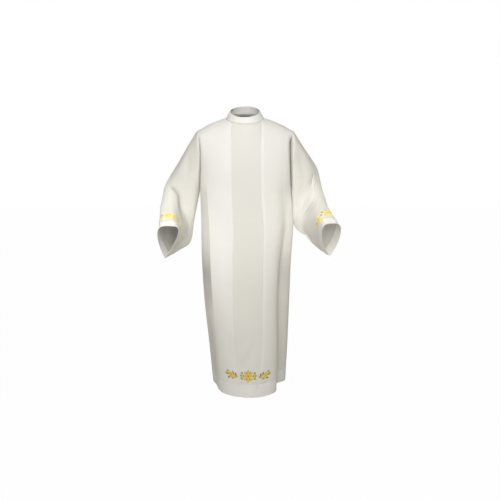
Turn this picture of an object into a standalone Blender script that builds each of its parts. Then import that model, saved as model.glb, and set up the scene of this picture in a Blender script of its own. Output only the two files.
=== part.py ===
"""An alb: a long white robe with two box pleats front and back, wide set-in sleeves
and a low stand collar, hanging as it does on a wearer whose forearms are held forward.

Metres, +Z up. The origin is the middle of the neck base, where the shoulders carry the
robe. The front faces -Y and the hem lies 1.4 m below.
"""

import bpy
import numpy as np

# Cloth
WALL = 0.0012  # thickness of one layer
SEAM = 0.0005  # each panel stops this far short of its seam line
ARMHOLE_GAP = 0.0014  # from the panel's edge to the sleeve's, where they meet at an angle
STAND_OFF = 0.0020  # between the middles of two layers that lie on each other at the armpit

# Neck and shoulders
NECK_WIDTH = 0.190
NECK_FRONT = 0.088  # reach of the neckline in front of the shoulder line
NECK_BACK = 0.075
NECK_LEVEL = 0.012
NECK_SLOPE = 0.33  # the neckline drops towards the front
NECK_SPREAD = 1.6  # half necks from the middle to where the cloth below no longer bows out
NECK_FADE = 0.35  # stage at which the neckline's sharp ends have smoothed out
SHOULDER_WIDTH = 0.490
SHOULDER_SLOPE = 0.30
SHOULDER_ROUND = 0.90  # the slope steepens towards the sleeve

# Collar
COLLAR_TOP_WIDTH = 0.146
COLLAR_TOP_FRONT = 0.080
COLLAR_TOP_BACK = 0.064
COLLAR_TOP_LEVEL = 0.047
COLLAR_TOP_SLOPE = 0.40
COLLAR_CLEARANCE = 0.0020  # between the neckline and the middle of the collar's wall

# Armholes
ARMPIT_LEVEL = -0.355
ARMHOLE_REACH = 0.078  # how far the armhole bows forward, and back
ARMHOLE_SCOOP = 0.010  # how far it curves in towards the chest
ARMHOLE_FROM = 0.45  # share of a half panel where the scoop begins

# Box pleats
PLEAT_RETURN = 0.036  # depth of the fold that lies under each edge
LAYER_AT_TOP = 0.0026  # between the middles of two layers
LAYER_AT_HEM = 0.0055

# Level rings of the body. centre is the ring's middle in X, power its squareness.
BODY_COLUMNS = ("level", "half_width", "front", "back", "centre", "power")
BODY_RINGS = (
    (-0.355, 0.234, 0.138, 0.128, 0.003, 2.5),
    (-0.520, 0.239, 0.148, 0.134, 0.011, 2.4),
    (-0.720, 0.235, 0.160, 0.142, 0.006, 2.3),
    (-0.940, 0.228, 0.176, 0.153, 0.008, 2.2),
    (-1.170, 0.214, 0.198, 0.168, 0.016, 2.2),
    (-1.400, 0.200, 0.221, 0.185, 0.021, 2.05),
)

# Edges of the box pleats down each panel, as shares of the half ring from its middle to
# its side seam, measured towards -X (left) and +X (right). stage is 0 on the shoulder
# seam, 1 at the armpit and 2 at the hem.
PLEAT_COLUMNS = ("stage", "left_outer", "left_inner", "right_inner", "right_outer")
FRONT_PLEATS = (
    (0.00, -0.815, -0.270, 0.325, 0.800),
    (1.00, -0.655, -0.225, 0.255, 0.660),
    (1.50, -0.580, -0.210, 0.262, 0.605),
    (1.78, -0.553, -0.205, 0.210, 0.585),
    (1.90, -0.540, -0.168, 0.160, 0.577),
    (2.00, -0.530, -0.160, 0.110, 0.570),
)
BACK_PLEATS = (
    (0.0, -0.800, -0.273, 0.273, 0.800),
    (1.0, -0.640, -0.240, 0.240, 0.640),
    (2.0, -0.540, -0.225, 0.225, 0.540),
)

# The largest soft folds: a ridge is proud, a trough is sunk. place and spread are shares
# of the half ring. It begins at the stage start, and has its whole depth from the stage full.
FOLD_COLUMNS = ("place", "spread", "start", "full", "depth")
FRONT_FOLDS = (
    (0.715, 0.155, 0.80, 1.60, -0.052),
    (-0.760, 0.130, 1.10, 2.00, -0.012),
    (0.000, 0.150, 1.35, 2.00, 0.004),
)
BACK_FOLDS = (
    (0.740, 0.150, 0.95, 1.90, -0.026),
    (-0.720, 0.140, 0.90, 1.80, -0.030),
    (0.030, 0.140, 1.20, 2.00, -0.006),
)

# Sleeve rings from the armhole to the cuff: the place of the ring's top, over the arm, of
# its bottom, where the underarm seam hangs, half the width between its two sides, the turn
# of its sides from across the body (0) to along it (90 degrees), and the power of the
# ring's rise: 0.5 is round on top, less is flatter there and widest near its top.
SLEEVE_COLUMNS = (
    "top_x", "top_y", "top_z", "low_x", "low_y", "low_z", "half_width", "turn", "rise",
)  # fmt: skip
LEFT_SLEEVE = (
    (-0.245, 0.000, -0.050, -0.233, 0.000, -0.355, 0.075, 0, 0.50),
    (-0.286, 0.002, -0.120, -0.250, 0.006, -0.420, 0.066, 8, 0.50),
    (-0.334, 0.006, -0.200, -0.262, 0.014, -0.475, 0.057, 16, 0.50),
    (-0.379, 0.012, -0.276, -0.274, 0.022, -0.535, 0.053, 28, 0.49),
    (-0.403, 0.008, -0.331, -0.284, 0.026, -0.604, 0.053, 45, 0.46),
    (-0.402, -0.041, -0.383, -0.302, 0.018, -0.641, 0.052, 64, 0.41),
    (-0.391, -0.106, -0.429, -0.337, -0.010, -0.658, 0.051, 78, 0.35),
    (-0.378, -0.169, -0.467, -0.377, -0.045, -0.676, 0.050, 86, 0.29),
    (-0.367, -0.225, -0.497, -0.414, -0.085, -0.690, 0.052, 90, 0.25),
)
RIGHT_SLEEVE = (
    (0.245, 0.000, -0.050, 0.240, 0.000, -0.355, 0.075, 0, 0.50),
    (0.285, 0.002, -0.112, 0.247, 0.006, -0.412, 0.065, 8, 0.50),
    (0.325, 0.004, -0.172, 0.252, 0.014, -0.468, 0.057, 16, 0.50),
    (0.361, 0.008, -0.236, 0.256, 0.024, -0.524, 0.053, 28, 0.49),
    (0.373, 0.000, -0.302, 0.282, 0.020, -0.566, 0.051, 45, 0.46),
    (0.385, -0.042, -0.362, 0.318, 0.010, -0.592, 0.050, 62, 0.41),
    (0.399, -0.095, -0.412, 0.352, -0.018, -0.625, 0.048, 75, 0.35),
    (0.413, -0.150, -0.454, 0.391, -0.050, -0.655, 0.047, 84, 0.29),
    (0.424, -0.205, -0.488, 0.432, -0.085, -0.678, 0.047, 88, 0.29),
)
SLEEVE_BLEND = 0.30  # share of the sleeve over which the armhole's shape fades out

# How finely each surface is divided
UPPER_ROWS = 8
LOWER_ROWS = 6
SLEEVE_ROWS = 13
NECKLINE_STEPS = 4  # from a pleat's inner edge to the end of the neckline
COLLAR_STEPS = 40
RING_SAMPLES = 181

IVORY = (0.86, 0.85, 0.80)


def columns(table, names):
    """The table's columns by name, as arrays."""
    return dict(zip(names, np.array(table, float).T))


def smooth_read(at, xs, ys):
    """The value at `at` of a smooth curve through the points (xs, ys), xs rising or falling."""
    if xs[0] > xs[-1]:
        xs, ys = xs[::-1], ys[::-1]
    slopes = np.gradient(ys, xs)
    at = np.clip(at, xs[0], xs[-1])
    k = np.clip(np.searchsorted(xs, at) - 1, 0, len(xs) - 2)
    span = xs[k + 1] - xs[k]
    t = (at - xs[k]) / span
    start = ys[k] * (1 + 2 * t) * (1 - t) ** 2 + slopes[k] * span * t * (1 - t) ** 2
    end = ys[k + 1] * t**2 * (3 - 2 * t) - slopes[k + 1] * span * t**2 * (1 - t)
    return start + end


def ease(x, low, high):
    """0 below low, 1 above high, and a smooth step between them."""
    t = np.clip((x - low) / (high - low), 0, 1)
    return t * t * (3 - 2 * t)


def ring_point(share, level, forward):
    """A point of the body's ring at this level. share runs from -1 at one side seam over 0
    in the middle to 1 at the other, and forward is -1 on the front half and 1 on the back."""
    body = columns(BODY_RINGS, BODY_COLUMNS)
    width, depth, centre, power = (
        smooth_read(level, body["level"], body[name])
        for name in ("half_width", "front" if forward < 0 else "back", "centre", "power")
    )
    angle = np.linspace(0, np.pi / 2, RING_SAMPLES)
    x = width * np.sin(angle) ** (2 / power)
    y = depth * np.cos(angle) ** (2 / power)
    length = np.concatenate([[0], np.cumsum(np.hypot(np.diff(x), np.diff(y)))])
    along = np.abs(share) * length[-1]
    across = np.sign(share) * np.interp(along, length, x)
    return np.stack(
        [across + centre, forward * np.interp(along, length, y), np.full_like(share, level)],
        axis=-1,
    )


def top_point(share, stage, forward, neck_reach):
    """A point of the shoulder seam or, near the middle, of the neckline, half an ellipse
    that reaches this far from the shoulder line. For the cloth below it, at a later stage,
    the ellipse gives way to a smooth bow."""
    x = share * SHOULDER_WIDTH / 2
    half_neck = NECK_WIDTH / 2
    off = np.abs(x) / half_neck
    ellipse = np.sqrt(1 - np.clip(off, 0, 1) ** 2)
    bow = 1 - ease(off, 0, NECK_SPREAD)
    y = forward * neck_reach * (ellipse + (bow - ellipse) * ease(stage, 0, NECK_FADE))
    beyond = np.clip(np.abs(x) - half_neck, 0, None)
    slope = SHOULDER_SLOPE * beyond + SHOULDER_ROUND * beyond**2
    return np.stack([x, y + forward * SEAM, NECK_LEVEL + NECK_SLOPE * y - slope], axis=-1)


def panel_point(share, stage, forward, neck_reach=None):
    """A point of a panel's middle surface without its folds. From stage 0 to 1 each line
    runs over the shoulder and down on a quarter of an ellipse, and from 1 to 2 it hangs."""
    if neck_reach is None:
        neck_reach = NECK_FRONT if forward < 0 else NECK_BACK
    if stage >= 1:
        level = ARMPIT_LEVEL + (stage - 1) * (BODY_RINGS[-1][0] - ARMPIT_LEVEL)
        return ring_point(share, level, forward)
    top = top_point(share, stage, forward, neck_reach)
    chest = ring_point(share, ARMPIT_LEVEL, forward)
    turn = stage * np.pi / 2
    weight = np.array([stage, np.sin(turn), 1 - np.cos(turn)])
    point = top + (chest - top) * weight
    scoop = ease(np.abs(share), ARMHOLE_FROM, 1) * np.sin(np.pi * stage)
    middle = ring_point(np.zeros(1), ARMPIT_LEVEL, forward)[0]
    bow = (1 - chest[..., 1] / middle[1]) * np.sin(np.pi * stage)
    point[..., 0] -= np.sign(share) * ARMHOLE_SCOOP * scoop
    point[..., 1] += forward * ARMHOLE_REACH * bow
    return point


def panel_normal(share, stage, forward):
    """The outward unit normal of panel_point, as if the neckline were a straight seam."""
    step = 0.004
    left, right = (panel_point(share + way, stage, forward, 0) for way in (-step, step))
    above = panel_point(share, max(stage - step, 0), forward, 0)
    below = panel_point(share, min(stage + step, 2), forward, 0)
    normal = np.cross(right - left, below - above) * forward
    return normal / np.linalg.norm(normal, axis=-1, keepdims=True)


def neckline_parts(inner, outer):
    """Where the points of a round neckline fall on a pleat that runs between these shares
    on the shoulder, as parts of the pleat's width from its inner edge."""
    end = NECK_WIDTH / SHOULDER_WIDTH
    start = np.arcsin(abs(inner) / end)
    angle = np.linspace(start, np.pi / 2, NECKLINE_STEPS + 1)[1:]
    return (end * np.sin(angle) - abs(inner)) / (abs(outer) - abs(inner))


def pleat_profile(edges, parts, under, turn):
    """(share, layer) of each line of folds across a panel, from one side to the other.
    Layer 0 is the ground, 1 the hidden return and 2 the face of the pleat. `parts` are the
    left and right pleats' neckline parts, `under` is the depth of the returns and `turn`
    the bulge of a fold, as shares."""
    left_outer, left_inner, right_inner, right_outer = edges

    def fold(edge, away, layer):
        """From this layer to the next at an edge: out to it, round it and back."""
        return [(edge, layer), (edge + away * turn, layer + 0.5), (edge, layer + 1)]

    def pleat(inner, outer, parts):
        """One box pleat, from its inner edge to its outer one. The lines near its inner
        edge lie at the same shares in all three layers, because the neckline curves there."""
        side = np.sign(outer)
        near = [inner + part * (outer - inner) for part in parts]
        lines = [(share, 0) for share in near]
        lines += fold(inner + side * under, side, 0)
        lines += [(share, 1) for share in near[::-1]]
        lines += fold(inner, -side, 1)
        lines += [(share, 2) for share in near]
        lines += [(inner + part * (outer - inner), 2) for part in (0.5, 0.78)]
        back = fold(outer - side * under, -side, 0) + fold(outer, side, 1)
        return lines + back[::-1]

    right = pleat(right_inner, right_outer, parts[1])
    left = pleat(left_inner, left_outer, parts[0])[::-1]
    left_side = [(share, 0) for share in np.linspace(-1, left_outer, 5)]
    middle = [
        (left_inner * 0.98, 0), (left_inner * 0.75, 0), (left_inner * 0.4, 0), (0, 0),
        (right_inner * 0.4, 0), (right_inner * 0.75, 0), (right_inner * 0.98, 0),
    ]  # fmt: skip
    right_side = [(share, 0) for share in np.linspace(right_outer, 1, 5)]
    return np.array(left_side + left + middle + right + right_side)


def panel(pleats, folds, forward):
    """The panel's grid of points, one row for each stage, from the shoulder to the hem."""
    edges = columns(pleats, PLEAT_COLUMNS)
    creases = columns(folds, FOLD_COLUMNS)
    outer_left, inner_left, inner_right, outer_right = pleats[0][1:]
    parts = (neckline_parts(inner_left, outer_left), neckline_parts(inner_right, outer_right))
    stages = np.concatenate(
        [np.linspace(0, 1, UPPER_ROWS), np.linspace(1, 2, LOWER_ROWS + 1)[1:]]
    )
    rows = []
    for stage in stages:
        half = np.linalg.norm(
            np.diff(panel_point(np.linspace(0, 1, 40), stage, forward), axis=0), axis=1
        ).sum()
        layer = np.interp(stage, (0, 2), (LAYER_AT_TOP, LAYER_AT_HEM))
        now = [smooth_read(stage, edges["stage"], edges[name]) for name in PLEAT_COLUMNS[1:]]
        lines = pleat_profile(now, parts, PLEAT_RETURN / half, layer / 2 / half)
        limit = 1 - SEAM / half
        share = np.clip(lines[:, 0], -limit, limit)
        offset = lines[:, 1] * layer
        for place, spread, start, full, depth in zip(*creases.values()):
            shape = np.exp(-(((share - place) / spread) ** 2)) * (1 - ease(np.abs(share), 0.85, 1))
            offset = offset + depth * shape * ease(stage, start, full)
        normal = panel_normal(share, stage, forward)
        rows.append(panel_point(share, stage, forward) + normal * offset[:, None])
    return np.array(rows)


def armhole(front, back, side):
    """The sleeve's first ring: down the front panel's armhole edge and up the back one's,
    a hair's breadth outside both. side is -1 or 1 in X."""
    edge, inner = (0, 1) if side < 0 else (-1, -2)
    halves = []
    for grid in (front, back):
        line = grid[:UPPER_ROWS, edge]
        onward = line - grid[:UPPER_ROWS, inner]
        onward /= np.linalg.norm(onward, axis=1, keepdims=True)
        low = ease(np.linspace(0, 1, UPPER_ROWS), 0.6, 1)[:, None]
        out = np.array([side, 0, 0])
        halves.append(line + onward * ARMHOLE_GAP * (1 - low) + out * STAND_OFF * low)
    ends = [(halves[0][i] + halves[1][i]) / 2 for i in (0, -1)]
    return np.array([ends[0], *halves[0][1:-1], ends[1], *halves[1][-2:0:-1]])


def sleeve(table, first_ring, side):
    """The sleeve's grid of points, one row for each ring. Each ring is a drop, over the arm
    and narrow where the underarm seam hangs: its width at a share d of the way down goes
    as d ** rise * (1 - d)."""
    names = columns(table, SLEEVE_COLUMNS)
    at = np.linspace(0, 1, len(table))
    down = np.linspace(0, 1, UPPER_ROWS)
    rows = []
    for t in np.linspace(0, 1, SLEEVE_ROWS):
        now = {name: smooth_read(t, at, values) for name, values in names.items()}
        top = np.array([now["top_x"], now["top_y"], now["top_z"]])
        low = np.array([now["low_x"], now["low_y"], now["low_z"]])
        turn = np.radians(now["turn"])
        rise = now["rise"]
        drop = ((1 - np.cos(np.pi * down)) / 2) ** (0.5 / rise)
        widest = rise**rise / (1 + rise) ** (1 + rise)
        width = drop**rise * (1 - drop) / widest
        across = now["half_width"] * np.array([-side * np.sin(turn), -np.cos(turn), 0])
        spine = top + (low - top) * drop[:, None]
        near = spine + across * width[:, None]
        far = spine - across * width[:, None]
        ring = np.concatenate([near, far[-2:0:-1]])
        share = ease(t, 0, SLEEVE_BLEND)
        rows.append(first_ring * (1 - share) + ring * share)
    rows[0] = first_ring
    return np.array(rows)


def collar():
    """The collar's grid of points: a ring round the neckline and one round its top edge."""
    angle = np.linspace(0, 2 * np.pi, COLLAR_STEPS, endpoint=False)
    forward = np.where(np.cos(angle) > 0, -1, 1)
    rows = []
    for rise in (0.0, 0.5, 1.0):
        half = np.interp(rise, (0, 1), (NECK_WIDTH / 2 - COLLAR_CLEARANCE, COLLAR_TOP_WIDTH / 2))
        front = np.interp(rise, (0, 1), (NECK_FRONT - COLLAR_CLEARANCE, COLLAR_TOP_FRONT))
        back = np.interp(rise, (0, 1), (NECK_BACK - COLLAR_CLEARANCE, COLLAR_TOP_BACK))
        reach = np.where(forward < 0, front, back)
        y = -reach * np.cos(angle)
        low = NECK_LEVEL + NECK_SLOPE * y
        high = COLLAR_TOP_LEVEL + COLLAR_TOP_SLOPE * y
        rows.append(np.stack([half * np.sin(angle), y, low + (high - low) * rise], axis=-1))
    return np.array(rows)


def grid_faces(rows, across, closed):
    """Quads between neighbouring points of a grid, joined round each row where closed."""
    row = np.arange(rows - 1)[:, None]
    line = np.arange(across if closed else across - 1)[None, :]
    after = (line + 1) % across
    quads = [row * across + line, row * across + after]
    quads += [(row + 1) * across + after, (row + 1) * across + line]
    return np.stack(quads, axis=-1).reshape(-1, 4)


def cloth_material(name, colour, roughness):
    material = bpy.data.materials.new(name)
    material.use_nodes = True
    shader = material.node_tree.nodes["Principled BSDF"]
    shader.inputs["Base Color"].default_value = (*colour, 1)
    shader.inputs["Roughness"].default_value = roughness
    shader.inputs["Metallic"].default_value = 0
    return material


def cloth(name, grid, closed, collection, material):
    """An object with the grid as an open surface, made a closed wall by Solidify."""
    rows, across = grid.shape[:2]
    mesh = bpy.data.meshes.new(name)
    faces = grid_faces(rows, across, closed).tolist()
    mesh.from_pydata(grid.reshape(-1, 3).tolist(), [], faces)
    mesh.materials.append(material)
    mesh.shade_smooth()
    piece = bpy.data.objects.new(name, mesh)
    collection.objects.link(piece)
    wall = piece.modifiers.new("wall", "SOLIDIFY")
    wall.thickness = WALL
    wall.offset = 0
    wall.use_rim = True
    return piece


def main():
    for old in list(bpy.data.objects):
        bpy.data.objects.remove(old)
    alb = bpy.data.collections.new("alb")
    bpy.context.scene.collection.children.link(alb)
    front = panel(FRONT_PLEATS, FRONT_FOLDS, -1)
    back = panel(BACK_PLEATS, BACK_FOLDS, 1)
    cloth("front", front, False, alb, cloth_material("front cloth", IVORY, 0.75))
    cloth("back", back, False, alb, cloth_material("back cloth", IVORY, 0.75))
    for name, table, side in (
        ("sleeve_left", LEFT_SLEEVE, -1),
        ("sleeve_right", RIGHT_SLEEVE, 1),
    ):
        grid = sleeve(table, armhole(front, back, side), side)
        cloth(name, grid, True, alb, cloth_material(name + " cloth", IVORY, 0.75))
    cloth("collar", collar(), True, alb, cloth_material("collar cloth", IVORY, 0.70))


main()
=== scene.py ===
import bpy
import numpy as np
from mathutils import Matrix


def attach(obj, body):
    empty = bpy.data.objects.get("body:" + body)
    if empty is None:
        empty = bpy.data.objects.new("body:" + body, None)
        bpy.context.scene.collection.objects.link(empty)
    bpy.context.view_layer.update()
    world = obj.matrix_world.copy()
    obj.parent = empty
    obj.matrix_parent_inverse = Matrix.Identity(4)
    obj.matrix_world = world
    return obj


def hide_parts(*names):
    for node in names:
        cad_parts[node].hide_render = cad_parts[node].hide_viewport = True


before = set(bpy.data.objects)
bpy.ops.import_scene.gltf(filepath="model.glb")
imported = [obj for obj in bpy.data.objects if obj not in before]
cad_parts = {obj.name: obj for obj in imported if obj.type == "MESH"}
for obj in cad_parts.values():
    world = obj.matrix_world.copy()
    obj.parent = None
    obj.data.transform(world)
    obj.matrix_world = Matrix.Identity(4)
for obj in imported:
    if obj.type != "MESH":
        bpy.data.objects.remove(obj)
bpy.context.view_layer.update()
print("frame loaded:", sorted(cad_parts))


clothSheet = {
    "thickness": 0.0005,  # one layer of the woven polyester
    "edgeRadius": 0.0006,  # of an edge that is turned under
    "allowance": 0.009,  # turned to the inside along every seam
    "seamGap": 0.0009,  # from a panel's turned edge to its seam line
    "waveRates": (1, 1, 0.35),  # of its waves along X, Y and Z
    "bandEdge": (-0.0005, 0.0005),  # over which a doubled band begins to look doubled
}

# How finely each surface is divided
detail = {
    "upperRows": 56,
    "lowerRows": 100,
    "hemRows": 13,
    "sideColumns": 32,  # beside the outer pleats
    "middleColumns": 38,  # between the pleats
    "faceColumns": 33,  # across a pleat's face
    "hiddenColumns": 5,  # across each layer under it
    "sleeveRings": 206,
    "sleeveHalf": 98,
    "collarSteps": 180,
}


# A smooth curve through the points (xs, ys): each span is a cubic whose end slopes are
# those of the neighbouring points.
def smoothRead(at, xs, ys):
    if xs[0] > xs[-1]:
        xs, ys = xs[::-1], ys[::-1]
    slopes = np.gradient(ys, xs)
    at = np.clip(at, xs[0], xs[-1])
    k = np.clip(np.searchsorted(xs, at) - 1, 0, len(xs) - 2)
    span = xs[k + 1] - xs[k]
    t = (at - xs[k]) / span
    start = ys[k] * (1 + 2 * t) * (1 - t) ** 2 + slopes[k] * span * t * (1 - t) ** 2
    end = ys[k + 1] * t**2 * (3 - 2 * t) - slopes[k + 1] * span * t**2 * (1 - t)
    return start + end


# The further columns of a table's rows, each read smoothly where the first column is at
def tableRead(at, table):
    first, *others = np.array(table, float).T
    return [smoothRead(at, first, column) for column in others]


# Such a table of rows that lie evenly from 0 to 1
def evenly(rows):
    return np.column_stack([np.linspace(0, 1, len(rows)), rows])


# 0 below low, 1 above high, and a smooth step between them
def ease(x, low, high):
    t = np.clip((x - low) / (high - low), 0, 1)
    return t * t * (3 - 2 * t)


def bell(x, width):
    return np.exp(-((x / width) ** 2))


# Like a bell, but with a sharp middle where it is 1 and less
def cusp(x, width, sharp=1):
    return sharp * np.exp(-np.abs(x) / width) + (1 - sharp) * bell(x, width)


def unit(vectors):
    return vectors / np.maximum(np.linalg.norm(vectors, axis=-1, keepdims=True), 1e-12)


# Reads row i of the curves (xs, ys), where xs rises from 0 to 1, at row i of at
def rowRead(at, xs, ys):
    shift = 2.0 * np.arange(len(xs))[:, None]
    read = np.interp((at + shift).ravel(), (xs + shift).ravel(), ys.ravel())
    return read.reshape(at.shape)


# Cumulative length along the rows (axis 1) or down the columns (axis 0) of a grid
def lengths(points, axis):
    steps = np.linalg.norm(np.diff(points, axis=axis), axis=-1)
    total = np.cumsum(steps, axis=axis)
    start = np.zeros_like(np.take(total, [0], axis=axis))
    return np.concatenate([start, total], axis=axis)


# Outward unit normals of a grid: the cross product of its two tangents, times way
def gridNormals(points, way, closed=False):
    if closed:
        around = np.roll(points, -1, axis=1) - np.roll(points, 1, axis=1)
    else:
        around = np.gradient(points, axis=1)
    down = np.gradient(points, axis=0)
    return unit(np.cross(around, down)) * way


# The same for rings that close, all facing away from their middles, and the way it took
def ringNormals(points):
    normals = gridNormals(points, 1, True)
    outward = points - points.mean(axis=1, keepdims=True)
    way = 1 if np.sum(normals * outward) > 0 else -1
    return normals * way, way


neck = {
    "width": 0.190,
    "front": 0.088,  # reach of the neckline in front of the shoulder line
    "back": 0.075,
    "level": 0.012,
    "slope": 0.33,  # the neckline drops towards the front
    "spread": 1.6,  # half necks from the middle to where the cloth below no longer bows out
    "fade": 0.35,  # stage at which the neckline's sharp ends have smoothed out
}

shoulder = {"width": 0.490, "slope": 0.30, "round": 0.90}

armhole = {
    "level": -0.355,  # the armpit
    "reach": 0.078,  # how far the armhole bows forward, and back
    "scoop": (0.011, 0.005),  # how far it curves in towards the chest, left and right
    "scoopFrom": 0.45,  # share of a half panel where the scoop begins
    "standOff": 0.0028,  # of the sleeve beside the armpit
    "hair": 0.0002,  # between a panel's turned edge and the sleeve's
    "lowStages": (0.6, 1),  # over which the sleeve goes from that to the stand-off
    "underarm": 0.60,  # power of the sleeve's fall there: 0.5 is round and 1 pointed
    "tuckDepth": (0.034, 0.100),  # of the valley along the left and the right seam
    "tuckWidth": (0.007, 0.014),
    "tuckStages": (0.15, 0.55),  # over which it deepens from nothing
    "tuckSideways": 0.25,  # how far it turns towards the body's middle
    "tuckRoom": 0.88,  # share of the way to the garment's middle that it may take up
    "shade": (0.10, 0.55),  # painted shade: how much the cloth's colour is darkened in it
    "shadeStages": (0.2, 0.5),  # over which it darkens
    "clearStages": (1.05, 1.25),  # and clears again below the armpit
}

# Level rings of the body: level, half width, depth in front and behind, middle in X, and a
# power, which is 2 for an ellipse and more for a squarer ring.
bodyRings = (
    (-0.355, 0.234, 0.138, 0.128, 0.003, 2.5),
    (-0.520, 0.239, 0.148, 0.134, 0.011, 2.4),
    (-0.720, 0.235, 0.160, 0.142, 0.006, 2.3),
    (-0.940, 0.228, 0.176, 0.153, 0.008, 2.2),
    (-1.170, 0.214, 0.198, 0.168, 0.016, 2.2),
    (-1.400, 0.200, 0.221, 0.185, 0.021, 2.05),
)


# A point of the body's ring: a superellipse of this half width and depth, read by its
# length. share runs from -1 at one side seam over 0 in the middle to 1 at the other.
def ringPoint(share, level, forward):
    width, front, back, centre, power = tableRead(level, bodyRings)
    depth = front if forward < 0 else back
    angle = np.linspace(0, np.pi / 2, 721)
    x = width * np.sin(angle) ** (2 / power)
    y = depth * np.cos(angle) ** (2 / power)
    length = lengths(np.stack([x, y], axis=-1), 1)
    length /= length[:, -1:]
    across = np.sign(share) * rowRead(np.abs(share), length, x) + centre
    return np.stack(
        [across, forward * rowRead(np.abs(share), length, y), level + 0 * share], axis=-1
    )


# A point of the shoulder seam or, near the middle, of the neckline, half an ellipse. For the
# cloth below it, at a later stage, the ellipse gives way to a smooth bow.
def topPoint(share, stage, forward, reach):
    x = share * shoulder["width"] / 2
    halfNeck = neck["width"] / 2
    off = np.abs(x) / halfNeck
    ellipse = np.sqrt(1 - np.clip(off, 0, 1) ** 2)
    bow = 1 - ease(off, 0, neck["spread"])
    y = forward * reach * (ellipse + (bow - ellipse) * ease(stage, 0, neck["fade"]))
    beyond = np.clip(np.abs(x) - halfNeck, 0, None)
    fall = shoulder["slope"] * beyond + shoulder["round"] * beyond**2
    z = neck["level"] + neck["slope"] * y - fall
    return np.stack([x, y + forward * clothSheet["seamGap"], z], axis=-1)


# The panel without pleats: over the shoulder and down on a quarter of an ellipse to the
# armpit's level, then straight down through the body's rings.
def panelPoint(share, stage, forward, reach=None):
    if reach is None:
        reach = neck["front"] if forward < 0 else neck["back"]
    upper = np.clip(stage, 0, 1)
    level = armhole["level"] + np.clip(stage - 1, 0, 1) * (bodyRings[-1][0] - armhole["level"])
    ring = ringPoint(share, level, forward)
    top = topPoint(share, stage, forward, reach)
    turn = upper * np.pi / 2
    weight = np.stack([upper, np.sin(turn), 1 - np.cos(turn)], axis=-1)
    point = top + (ring - top) * weight
    scoop = ease(np.abs(share), armhole["scoopFrom"], 1) * np.sin(np.pi * upper)
    middle = ringPoint(np.zeros((1, 1)), np.full((1, 1), armhole["level"]), forward)[0, 0, 1]
    bow = (1 - ring[..., 1] / middle) * np.sin(np.pi * upper)
    point[..., 0] -= np.sign(share) * np.where(share < 0, *armhole["scoop"]) * scoop
    point[..., 1] += forward * armhole["reach"] * bow
    return point


# How far the armhole's seam is drawn back into the armhole at each stage: nothing at the
# shoulder and the armpit, and never so far that front and back would meet
def armholeTuck(stage, side, forward):
    way = unit(np.array([-armhole["tuckSideways"] * side, -forward, 0.0]))
    profile = ease(stage, *armhole["tuckStages"])
    room = armhole["tuckRoom"] * np.abs(panelPoint(side + 0 * stage, stage, forward)[..., 1])
    return way * np.minimum(armhole["tuckDepth"][int(side > 0)] * profile, room)[..., None]


# From a turned edge to its seam line: narrower along the tuck, where the cloth turns inward
def edgeGap(stage):
    return clothSheet["seamGap"] * (1 - 0.6 * ease(stage, 0.10, 0.35) * (1 - ease(stage, 0.9, 1)))


# Painted shade along the armhole's seam, darkening the cloth's colour at these stages
def armholeShade(stage, side):
    along = ease(stage, *armhole["shadeStages"]) * (1 - ease(stage, *armhole["clearStages"]))
    return armhole["shade"][int(side > 0)] * along


# Its outward normal, as if the neckline were a straight seam
def panelNormal(share, stage, forward):
    step = 0.004
    left, right = (panelPoint(share + way, stage, forward, 0) for way in (-step, step))
    above = panelPoint(share, np.maximum(stage - step, 0), forward, 0)
    below = panelPoint(share, np.minimum(stage + step, 2), forward, 0)
    return unit(np.cross(right - left, below - above)) * forward


# A stage is 0 on the shoulder seam, 1 at the armpit and 2 at the hem. pleats gives the stage
# and there the left pleat's outer and inner edge and the right one's inner and outer edge, as
# shares of the half ring. folds are large and soft, part of the cut's hang: place and spread
# as such shares, the stages where each starts and is full, and its depth. dim is painted
# shade: how much the cloth's colour is darkened at a stage where it drops away beside the
# left and the right pleat, 0 to 1.
frontPanel = {
    "forward": -1,
    # Painted light: the front's left face is coloured paler than its right
    "faceWhite": (0.95, 0.45),  # how pale the left and right faces are coloured, 0 to 1
    "sideWhite": 0.9,  # and the cloth beside them above the armpit: painted light
    "pleats": (
        (0.00, -0.805, -0.270, 0.325, 0.850),
        (1.00, -0.655, -0.225, 0.255, 0.630),
        (1.50, -0.580, -0.210, 0.262, 0.605),
        (1.78, -0.553, -0.205, 0.210, 0.585),
        (1.90, -0.540, -0.168, 0.160, 0.577),
        (2.00, -0.530, -0.160, 0.110, 0.570),
    ),
    "folds": (
        (0.715, 0.155, 0.80, 1.60, -0.052),
        (-0.760, 0.130, 1.10, 2.00, -0.012),
        (0.000, 0.150, 1.35, 2.00, 0.004),
    ),
    "dim": (
        (0.00, 0.00, 0.00),
        (0.90, 0.00, 0.00),
        (1.02, 0.14, 0.00),
        (1.28, 0.15, 0.00),
        (1.34, 0.26, 0.13),
        (1.40, 0.38, 0.17),
        (1.46, 0.27, 0.12),
        (1.52, 0.19, 0.06),
        (1.58, 0.02, 0.05),
        (1.70, 0.00, 0.05),
        (2.00, 0.00, 0.10),
    ),
}

backPanel = {
    "forward": 1,
    "faceWhite": (0.45, 0.45),
    "sideWhite": 0.4,
    "pleats": (
        (0.0, -0.800, -0.273, 0.273, 0.800),
        (1.0, -0.640, -0.240, 0.240, 0.640),
        (2.0, -0.540, -0.225, 0.225, 0.540),
    ),
    "folds": (
        (0.740, 0.150, 0.95, 1.90, -0.026),
        (-0.720, 0.140, 0.90, 1.80, -0.030),
        (0.030, 0.140, 1.20, 2.00, -0.006),
    ),
    "dim": (
        (0.0, 0.00, 0.00),
        (0.9, 0.00, 0.00),
        (1.2, 0.06, 0.08),
        (1.5, 0.10, 0.10),
        (2.0, 0.05, 0.05),
    ),
}

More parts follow.
